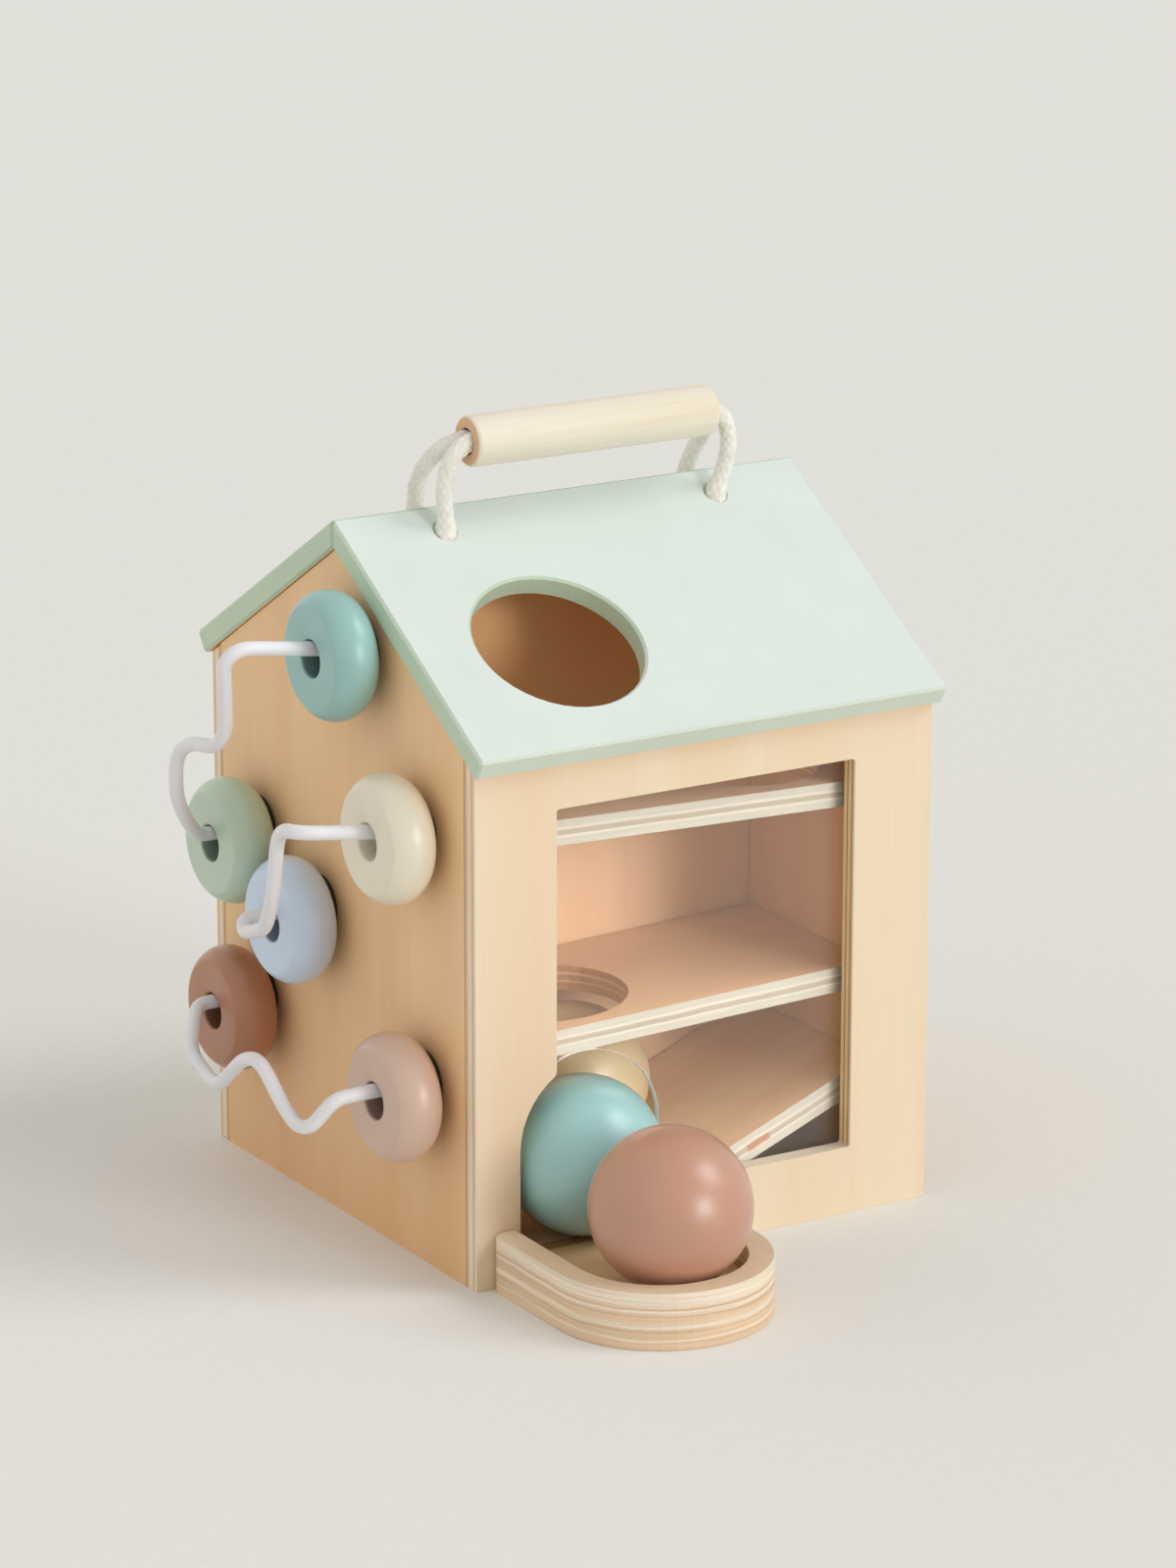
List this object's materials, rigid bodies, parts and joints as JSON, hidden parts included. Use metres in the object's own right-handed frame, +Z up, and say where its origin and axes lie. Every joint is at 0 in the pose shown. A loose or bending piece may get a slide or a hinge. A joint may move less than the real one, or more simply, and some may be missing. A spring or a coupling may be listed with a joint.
{
  "type": "wooden activity house",
  "caption": "Toy house with a tilted ball run behind a window, a ball tray at the door, ring beads on bent wires on one gable, and a rope handle on the painted roof.",
  "frame": {"origin": "centre of the shell's base, on the surface that it stands on", "axes": "+Z up, -Y out of the window side, -X out of the gable that carries the bead wires"},
  "size_m": [0.214, 0.2466, 0.254],
  "materials": {
    "birch": "satin lacquer",
    "inner_birch": "satin",
    "birch_ply": "satin lacquer with ply edges",
    "mint_paint": "satin paint",
    "acrylic": "clear gloss",
    "cotton": "braided cotton",
    "coated_wire": "white coating",
    "black_plastic": "matte",
    "teal_paint": "satin paint",
    "cream_paint": "satin paint",
    "terracotta_paint": "satin paint",
    "green_paint": "satin paint",
    "blue_paint": "satin paint",
    "brown_paint": "satin paint",
    "pink_paint": "satin paint"
  },
  "bodies": {
    "house": {"front_panel": "birch", "back_panel": "birch", "left_gable": "birch", "right_gable": "birch", "floor_panel": "inner_birch", "left_cheek": "inner_birch", "right_cheek": "inner_birch", "mid_partition": "inner_birch", "window_pane": "acrylic", "top_ramp": "birch_ply", "middle_ramp": "birch_ply", "exit_ramp": "birch_ply", "roof_front": "mint_paint", "roof_back": "mint_paint", "tray_rim": "birch_ply", "tray_floor": "birch", "wire_upper": "coated_wire", "wire_middle": "coated_wire", "wire_lower": "coated_wire", "washer_teal": "black_plastic", "washer_green": "black_plastic", "washer_cream": "black_plastic", "washer_blue": "black_plastic", "washer_brown": "black_plastic", "washer_pink": "black_plastic", "knot_front_left": "cotton", "knot_front_right": "cotton", "knot_back_left": "cotton", "knot_back_right": "cotton"},
    "handle_ropes": {"rope_front": "cotton", "rope_back": "cotton"},
    "grip": {"handle_grip": "birch"},
    "teal_bead": {"bead_teal": "teal_paint"},
    "green_bead": {"bead_green": "green_paint"},
    "cream_bead": {"bead_cream": "cream_paint"},
    "blue_bead": {"bead_blue": "blue_paint"},
    "brown_bead": {"bead_brown": "brown_paint"},
    "pink_bead": {"bead_pink": "pink_paint"},
    "terracotta_ball": {"ball_terracotta": "terracotta_paint"},
    "teal_ball": {"ball_teal": "teal_paint"},
    "cream_ball": {"ball_cream": "cream_paint"}
  },
  "joints": [
    {"name": "handle_swing", "type": "hinge", "parent": "house", "child": "handle_ropes", "pos_m": [0, 0, 0.2175], "axis": [1, 0, 0], "range_deg": [-84, 36], "deforming": ["rope_front", "rope_back"]},
    {"name": "grip_spin", "type": "hinge", "parent": "handle_ropes", "child": "grip", "pos_m": [0, -0.013, 0.246], "axis": [1, 0, 0], "continuous": true},
    {"name": "teal_bead_slide", "type": "slide", "parent": "house", "child": "teal_bead", "axis": [-0.9903, 0, 0.1392], "range_m": [0, 0.017]},
    {"name": "green_bead_slide", "type": "slide", "parent": "house", "child": "green_bead", "axis": [-1, 0, 0], "range_m": [0, 0.002]},
    {"name": "cream_bead_slide", "type": "slide", "parent": "house", "child": "cream_bead", "axis": [-0.9903, 0, 0.1392], "range_m": [0, 0.016]},
    {"name": "blue_bead_slide", "type": "slide", "parent": "house", "child": "blue_bead", "axis": [-1, 0, 0], "range_m": [0, 0.006]},
    {"name": "brown_bead_slide", "type": "slide", "parent": "house", "child": "brown_bead", "axis": [-1, 0, 0], "range_m": [0, 0.003]},
    {"name": "pink_bead_slide", "type": "slide", "parent": "house", "child": "pink_bead", "axis": [-1, 0, 0], "range_m": [0, 0.007]},
    {"name": "terracotta_ball_lift", "type": "slide", "parent": "house", "child": "terracotta_ball", "axis": [0, 0, 1], "range_m": [0, 0.06]},
    {"name": "teal_ball_roll", "type": "slide", "parent": "house", "child": "teal_ball", "axis": [0, -1, 0], "range_m": [0, 0.003]},
    {"name": "cream_ball_roll", "type": "slide", "parent": "house", "child": "cream_ball", "axis": [0.9285, 0, 0.3714], "range_m": [0, 0.004]}
  ]
}
